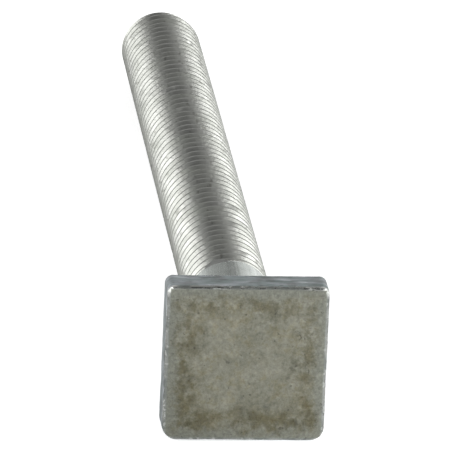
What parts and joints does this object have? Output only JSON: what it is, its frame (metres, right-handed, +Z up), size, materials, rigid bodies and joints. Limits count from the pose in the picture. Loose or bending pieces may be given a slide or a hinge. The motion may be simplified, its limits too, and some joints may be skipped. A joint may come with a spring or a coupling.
{
  "type": "square head machine screw",
  "caption": "Long plated steel screw with a thin square head, a short plain shank and a fine right-hand thread to its chamfered end.",
  "frame": {"origin": "on the surface that the screw lies on, under the centre of its bounding box", "axes": "+Y from the head towards the end of the thread, +Z up; the screw lies on one side of its head and on the thread at its end, so its axis dips 2.07 degrees below +Y"},
  "size_m": [0.0148, 0.0988, 0.0148],
  "materials": {
    "zinc_plated_steel": "bright zinc plate on the rolled shank and thread, dull and stained olive grey on the outer face of the head"
  },
  "bodies": {
    "root": {"square_head_screw": "zinc_plated_steel"}
  },
  "joints": []
}
